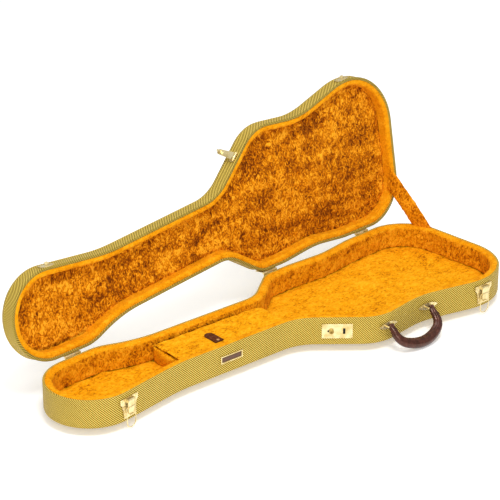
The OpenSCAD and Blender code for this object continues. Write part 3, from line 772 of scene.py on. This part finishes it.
def swollen(name, node, fixed_below, voxel, cap, round_off):
    """Copy of a CAD pad, smoothed round_off times and puffed up by cloth pressure. The pressure
    leaves the points below fixed_below and moves no point further than cap."""
    source = frame["nodes"][node]
    obj = bpy.data.objects.new(name, source.data.copy())
    bpy.context.scene.collection.objects.link(obj)
    bm = bmesh.new()
    bm.from_mesh(obj.data)
    bmesh.ops.remove_doubles(bm, verts=bm.verts, dist=1e-6)
    bm.to_mesh(obj.data)
    bm.free()
    remesh = obj.modifiers.new("remesh", "REMESH")
    remesh.mode = "VOXEL"
    remesh.voxel_size = voxel
    rounding = obj.modifiers.new("rounding", "SMOOTH")
    rounding.factor = 0.5
    rounding.iterations = round_off
    apply_modifiers(obj)
    shrink(obj, 0.6 * MM)
    start = points_of(obj)
    glued = obj.vertex_groups.new(name="glued")
    glued.add([i for i, p in enumerate(start) if p[2] < fixed_below], 1.0, "REPLACE")
    cloth = obj.modifiers.new("cloth", "CLOTH")
    cloth.settings.quality = 5
    cloth.settings.mass = 0.15
    cloth.settings.use_pressure = True
    cloth.settings.uniform_pressure_force = 4
    cloth.settings.tension_stiffness = 12
    cloth.settings.compression_stiffness = 12
    cloth.settings.bending_stiffness = 0.4
    cloth.settings.vertex_group_mass = "glued"
    cloth.settings.effector_weights.gravity = 0
    cloth.point_cache.frame_start = 1
    cloth.point_cache.frame_end = SIM_FRAMES
    for step in range(1, SIM_FRAMES + 1):
        bpy.context.scene.frame_set(step)
    apply_modifiers(obj)
    bpy.context.scene.frame_set(1)
    moved = points_of(obj) - start
    length = np.maximum(np.linalg.norm(moved, axis=1), 1e-9)
    limited = start + moved * np.minimum(1, cap / length)[:, None]
    obj.data.vertices.foreach_set("co", limited.ravel())
    subdivide = obj.modifiers.new("subdivide", "SUBSURF")
    subdivide.levels = 1
    apply_modifiers(obj)
    obj.data.shade_smooth()
    return obj


def points_of(obj):
    """The vertices of a mesh object as rows of x, y and z."""
    co = np.zeros(len(obj.data.vertices) * 3)
    obj.data.vertices.foreach_get("co", co)
    return co.reshape(-1, 3)


def shrink(obj, amount):
    """Moves every point in along its normal."""
    co = points_of(obj)
    normals = np.zeros(len(co) * 3)
    obj.data.vertices.foreach_get("normal", normals)
    co -= normals.reshape(-1, 3) * amount
    obj.data.vertices.foreach_set("co", co.ravel())
    obj.data.update()


def apply_modifiers(obj):
    """Replaces the mesh by what its modifiers make of it."""
    graph = bpy.context.evaluated_depsgraph_get()
    done = bpy.data.meshes.new_from_object(obj.evaluated_get(graph))
    obj.modifiers.clear()
    obj.data = done


def neck_pad(name, node, body, glued_height, seed, round_off, cap):
    """One puffed pad in place of a CAD pad. The pressure leaves its lowest glued_height alone."""
    pad = swollen(name, node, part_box(node)[0].z + glued_height, 4 * MM, cap, round_off)
    plush_pile(pad, 0.9 * MM, seed)
    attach(pad, body)
    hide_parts(node)
    dressed(pad, FLOOR_PLUSH)


def neck_pads():
    """Neck rest, panel and lid of the accessory box. The lid swells least, to stay under its tab."""
    neck_pad("neck_rest_pad", "neck_rest", "base", 4 * MM, 51, 10, 5 * MM)
    neck_pad("headstock_pad", "headstock_panel", "base", 4 * MM, 53, 5, 4 * MM)
    neck_pad("box_lid_pad", "box_lid", "accessory box lid", 1 * MM, 57, 2, 1 * MM)


STRAP_HALF_W = 17 * MM
STRAP_HALF_T = 1.8 * MM
STRAP_TURN = math.radians(20)
STRAP_SUNK = 7 * MM


def stay_strap():
    """Plush strap from the rim of the base to the rim of the lid. Both ends sink into the padding, and
    the middle bows inwards."""
    low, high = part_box("stay_strap")
    half = STRAP_HALF_W
    foot = Vector(((low.x + high.x) / 2, low.y + half / 0.7, RIM_Z + 1 * MM))
    reach = HINGE_Y - foot.y + 24 * MM
    depth = 7 * MM
    head = Vector((
        foot.x - 8 * MM,
        HINGE_Y - reach * math.cos(LID_OPEN) + depth * math.sin(LID_OPEN),
        RIM_Z + reach * math.sin(LID_OPEN) + depth * math.cos(LID_OPEN),
    ))
    way = (head - foot).normalized()
    length = (head - foot).length
    along_rim = Vector((math.sin(STRAP_TURN), -math.cos(STRAP_TURN), 0))
    across = (along_rim - way * along_rim.dot(way)).normalized()
    outward = across.cross(way)
    slant = along_rim.dot(way) / along_rim.dot(across)
    rows = 70
    columns = 16
    ring = [(half * (2 * j / columns - 1), STRAP_HALF_T) for j in range(columns + 1)]
    ring += [(half * (1 - 2 * j / columns), -STRAP_HALF_T) for j in range(columns + 1)]
    inwards = Vector((-1, -1, 0.64)).normalized()
    bow = inwards * 20 * MM
    middle_line = [
        foot + way * (length * i / rows) + bow * math.sin(math.pi * i / rows) for i in range(rows + 1)
    ]
    cut_length = STRAP_SUNK + sum((b - a).length for a, b in zip(middle_line, middle_line[1:]))
    vertices = []
    faces = []
    for i in range(rows + 1):
        t = i / rows
        for w, h in ring:
            start = slant * w - STRAP_SUNK
            end = length - slant * w
            edge = min(1.0, (half - abs(w)) / (3 * MM) + 0.25)
            along = start + (end - start) * t
            curve = bow * math.sin(math.pi * t)
            vertices.append(foot + way * along + across * w + outward * (h * edge) + curve)
    n = len(ring)
    for i in range(rows):
        for j in range(n):
            faces.append((i * n + j, i * n + (j + 1) % n, (i + 1) * n + (j + 1) % n, (i + 1) * n + j))
    faces.append(list(range(n)))
    faces.append([rows * n + n - 1 - j for j in range(n)])
    obj = mesh_object("stay_strap_plush", vertices, faces)
    plush_pile(obj, 1.4 * MM, 61)
    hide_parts("stay_strap")
    dressed(obj, STRAP_PLUSH)
    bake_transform(obj)
    return obj


# ---------------------------------------------------------------- handle
HANDLE_PIVOT = Vector(JOINTS["handle"]["pos_m"])
HANDLE_LEAN = math.radians(43)
TAIL_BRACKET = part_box("handle_tail_bracket")
POST_HALF = (TAIL_BRACKET[0].x + TAIL_BRACKET[1].x) / 2 - HANDLE_PIVOT.x
HANDLE_DROP = 58 * MM
GRIP_END_R = 5.2 * MM
GRIP_SWELL = 6.2 * MM
CORNER_BEND_R = 30 * MM
CORNER_TURN = math.radians(60)
BELLY_BEND_R = CORNER_BEND_R + (POST_HALF - CORNER_BEND_R) / math.cos(CORNER_TURN)
LEG_L = HANDLE_DROP - BELLY_BEND_R + (POST_HALF - CORNER_BEND_R) * math.tan(CORNER_TURN)


def grip_path(s):
    """Middle line of half the grip, s metres from its lowest point: how far along X, how far down
    and the angle it has turned through."""
    belly = BELLY_BEND_R * (math.pi / 2 - CORNER_TURN)
    corner = CORNER_BEND_R * CORNER_TURN
    if s < belly:
        angle = s / BELLY_BEND_R
        drop = LEG_L - (POST_HALF - CORNER_BEND_R) * math.tan(CORNER_TURN)
        return BELLY_BEND_R * math.sin(angle), drop + BELLY_BEND_R * math.cos(angle), angle
    if s < belly + corner:
        angle = (s - belly) / CORNER_BEND_R + math.pi / 2 - CORNER_TURN
        bend = CORNER_BEND_R
        return POST_HALF - bend + bend * math.sin(angle), LEG_L + bend * math.cos(angle), angle
    return POST_HALF, LEG_L - (s - belly - corner), math.pi / 2


def handle_grip():
    """Leather grip: a stitched tube, thick in the middle, that narrows to a loop round each bar."""
    out = Vector((0, -math.sin(HANDLE_LEAN), -math.cos(HANDLE_LEAN)))
    side = Vector((0, -math.cos(HANDLE_LEAN), math.sin(HANDLE_LEAN)))
    across = Vector((1, 0, 0))
    half_length = BELLY_BEND_R * (math.pi / 2 - CORNER_TURN) + CORNER_BEND_R * CORNER_TURN + LEG_L
    eye_r = 4.9 * MM
    rows = 96
    n = 32
    vertices = []
    faces = []
    for i in range(rows + 1):
        t = -1 + 2 * i / rows
        x, drop, angle = grip_path(abs(t) * half_length)
        sign = math.copysign(1, t)
        centre = HANDLE_PIVOT + across * sign * x + out * drop
        radial = across * sign * math.sin(angle) + out * math.cos(angle)
        bulge = math.cos(t * math.pi / 2) ** 0.5 if abs(t) < 1 else 0
        fat = GRIP_END_R + GRIP_SWELL * bulge
        flat = 1 - 0.22 * smooth_step((abs(t) - 0.86) / 0.14)
        for k in range(n):
            a = 2 * math.pi * k / n
            inside = abs((a + 2 * math.pi) % (2 * math.pi) - math.pi)
            deep_crease = 0.16 * math.exp(-(((inside - 0.75) / 0.2) ** 2))
            side_crease = 0.1 * math.exp(-(((inside - 1.7) / 0.22) ** 2))
            crease = 1 - deep_crease - side_crease
            lip = 1 + 0.08 * math.exp(-((inside / 0.45) ** 2))
            r = fat * crease * lip
            vertices.append(centre + radial * r * math.cos(a) + side * r * flat * math.sin(a))
    for i in range(rows):
        for k in range(n):
            faces.append((i * n + k, i * n + (k + 1) % n, (i + 1) * n + (k + 1) % n, (i + 1) * n + k))
    faces.append([n - 1 - k for k in range(n)])
    faces.append([rows * n + k for k in range(n)])
    grip = mesh_object("handle_leather_grip", vertices, faces)
    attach(grip, "handle")
    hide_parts("handle_grip")
    dressed(grip, LEATHER)
    for sign, label in ((-1, "head"), (1, "tail")):
        leather_eye("handle_loop_" + label, HANDLE_PIVOT + across * sign * POST_HALF, eye_r)
    return grip


def smooth_step(t):
    """Eases from 0 to 1 as t goes from 0 to 1."""
    t = min(1.0, max(0.0, t))
    return t * t * (3 - 2 * t)


def leather_eye(name, centre, outer_r):
    """End loop of the grip, wrapped round the bar of its bracket."""
    half = 5.2 * MM
    bore_r = 1.95 * MM
    edge = 0.9 * MM
    profile = [
        (-half, bore_r),
        (-half, outer_r - edge),
        (-half + 0.3 * edge, outer_r - 0.3 * edge),
        (-half + edge, outer_r),
        (0, outer_r + 0.15 * MM),
        (half - edge, outer_r),
        (half - 0.3 * edge, outer_r - 0.3 * edge),
        (half, outer_r - edge),
        (half, bore_r),
    ]
    steps = 40
    vertices = []
    faces = []
    for i in range(steps):
        a = 2 * math.pi * i / steps
        for x, r in profile:
            vertices.append(centre + Vector((x, r * math.cos(a), r * math.sin(a))))
    m = len(profile)
    for i in range(steps):
        here = i * m
        following = (i + 1) % steps * m
        for k in range(m):
            faces.append((here + k, following + k, following + (k + 1) % m, here + (k + 1) % m))
    obj = mesh_object(name, vertices, faces)
    bm = bmesh.new()
    bm.from_mesh(obj.data)
    bmesh.ops.recalc_face_normals(bm, faces=bm.faces)
    bm.to_mesh(obj.data)
    bm.free()
    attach(obj, "handle")
    dressed(obj, LEATHER)


# ---------------------------------------------------------------- hardware kept from the frame
def carried_over():
    """Gives every CAD node that still shows its material and soft edges."""
    dress = {
        "box_pull_tab": LEATHER,
        "box_hinge_tape": BASE_PLUSH,
        # The black lock case paints shade into the slot of the lock plate.
        "lock_case": SLOT_SHADE_BLACK,
        # The knob takes the darker brass: painted shade.
        "lock_knob": SHADED_KNOB_BRASS,
    }
    for name, obj in frame["nodes"].items():
        if obj.hide_render:
            continue
        material = dress.get(name, BRASS)
        obj.data.materials.clear()
        obj.data.materials.append(material)
        bevel = obj.modifiers.new("soft edges", "BEVEL")
        bevel.width = 0.35 * MM
        bevel.segments = 2
        bevel.limit_method = "ANGLE"
        bevel.angle_limit = math.radians(40)


def inset_plate(name, middle, angle, half_w, half_h, material):
    """Thin upright plate on the front wall of the base, turned by angle to lie along the wall."""
    tangent = turned(Vector((1, 0)), angle).to_3d()
    across = 10
    up = 4
    vertices = [
        middle + tangent * half_w * (2 * i / across - 1) + Vector((0, 0, half_h * (2 * j / up - 1)))
        for i in range(across + 1)
        for j in range(up + 1)
    ]
    row = up + 1
    faces = [
        (i * row + j, (i + 1) * row + j, (i + 1) * row + j + 1, i * row + j + 1)
        for i in range(across)
        for j in range(up)
    ]
    obj = mesh_object(name, vertices, faces)
    solid = obj.modifiers.new("thickness", "SOLIDIFY")
    solid.thickness = 0.4 * MM
    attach(obj, "base")
    return dressed(obj, material)


def outwards(angle):
    """The way out of the front wall where the wall is turned by angle."""
    return turned(Vector((0, -1)), angle).to_3d()


BADGE_TURN = math.radians(-4.6)


def badge_field():
    """Brown field inside the raised border of the blank badge."""
    low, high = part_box("badge_plate")
    border = 2.6 * MM
    half_w = (high.x - low.x) / (2 * math.cos(BADGE_TURN)) - border
    half_h = (high.z - low.z) / 2 - border
    middle = (low + high) / 2 + outwards(BADGE_TURN) * 0.2 * MM
    inset_plate("badge_field", middle, BADGE_TURN, half_w, half_h, ENAMEL)


# ---------------------------------------------------------------- stage
def studio():
    """Pale floor and soft lights."""
    bpy.ops.mesh.primitive_plane_add(size=30, location=(0, 0, 0))
    floor = bpy.context.object
    floor.name = "studio_floor"
    n = Nodes("pale_floor")
    n.shader.inputs["Base Color"].default_value = (0.93, 0.93, 0.93, 1)
    n.shader.inputs["Roughness"].default_value = 0.9
    n.shader.inputs["Emission Color"].default_value = (1, 1, 1, 1)
    n.shader.inputs["Emission Strength"].default_value = 0.28
    floor.data.materials.append(n.material)
    world = bpy.data.worlds.new("studio")
    bpy.context.scene.world = world
    world.use_nodes = True
    world.node_tree.nodes["Background"].inputs["Color"].default_value = (1, 1, 1, 1)
    world.node_tree.nodes["Background"].inputs["Strength"].default_value = 0.5
    area_light("key", (-1.2, -1.3, 3.5), 1.2, 72)
    area_light("front", (-2.6, -2.4, 1.7), 1.6, 46)
    area_light("top", (0.3, 0.6, 3.4), 1.8, 30)
    view = bpy.context.scene.view_settings
    view.view_transform = "Standard"
    view.look = "None"


def area_light(name, spot, size, power):
    """A square soft light that faces the case."""
    aim = Vector((0, 0.1, 0.1))
    data = bpy.data.lights.new(name, "AREA")
    data.size = size
    data.energy = power
    light = bpy.data.objects.new(name, data)
    light.location = spot
    light.rotation_euler = (aim - Vector(spot)).to_track_quat("-Z", "Y").to_euler()
    bpy.context.scene.collection.objects.link(light)


def camera():
    """Long lens from the front and the head end, a little above the case."""
    azimuth = math.radians(44.77)
    elevation = math.radians(24.54)
    distance = 4.62
    forward = Vector((
        math.sin(azimuth) * math.cos(elevation),
        math.cos(azimuth) * math.cos(elevation),
        -math.sin(elevation),
    ))
    target = Vector((-140.8, 288.1, 80)) * MM
    data = bpy.data.cameras.new("camera")
    data.lens = 150.1
    data.sensor_width = 36
    cam = bpy.data.objects.new("camera", data)
    cam.location = target - forward * distance
    cam.rotation_euler = forward.to_track_quat("-Z", "Y").to_euler()
    bpy.context.scene.collection.objects.link(cam)
    bpy.context.scene.camera = cam


camera()
studio()
base_shell()
lid_shell()
base_lining()
base_floor()
lid_lining()
lid_panel()
neck_pads()
stay_strap()
handle_grip()
carried_over()
badge_field()
